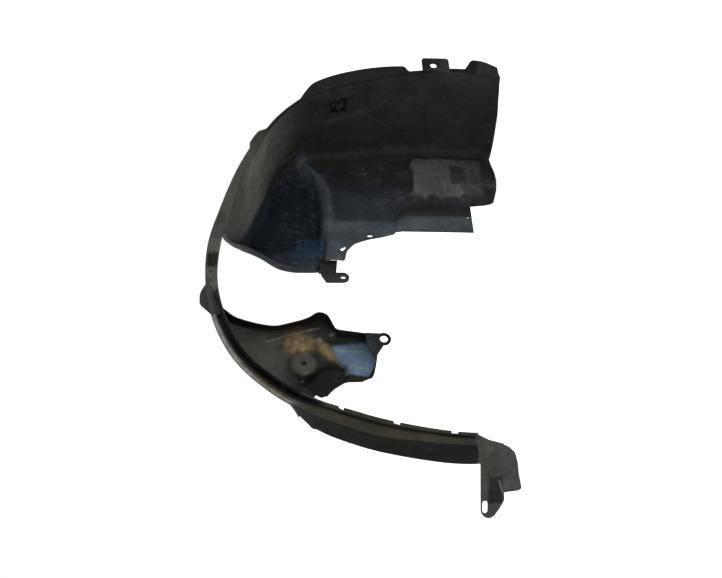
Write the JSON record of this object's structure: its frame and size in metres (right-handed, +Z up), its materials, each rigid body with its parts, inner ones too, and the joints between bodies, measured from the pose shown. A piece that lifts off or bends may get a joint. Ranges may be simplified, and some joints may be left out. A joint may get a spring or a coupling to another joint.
{
  "type": "wheel arch liner",
  "caption": "Moulded plastic liner for a front wheel arch: an arched tread with a folded lip, a deep front bay, a rear wing with an eye, and slotted fixing tabs.",
  "frame": {"origin": "centre of the fixing hole in the upper tab of the front lip, halfway through the tab", "axes": "+X towards the front of the car, +Y in from the wheel opening towards the engine bay, +Z up; a liner for the right side"},
  "size_m": [0.8458, 0.2206, 0.5292],
  "materials": {
    "black_plastic": "moulded polypropylene, scuffed and dusty"
  },
  "bodies": {
    "root": {"liner": "black_plastic"}
  },
  "joints": []
}
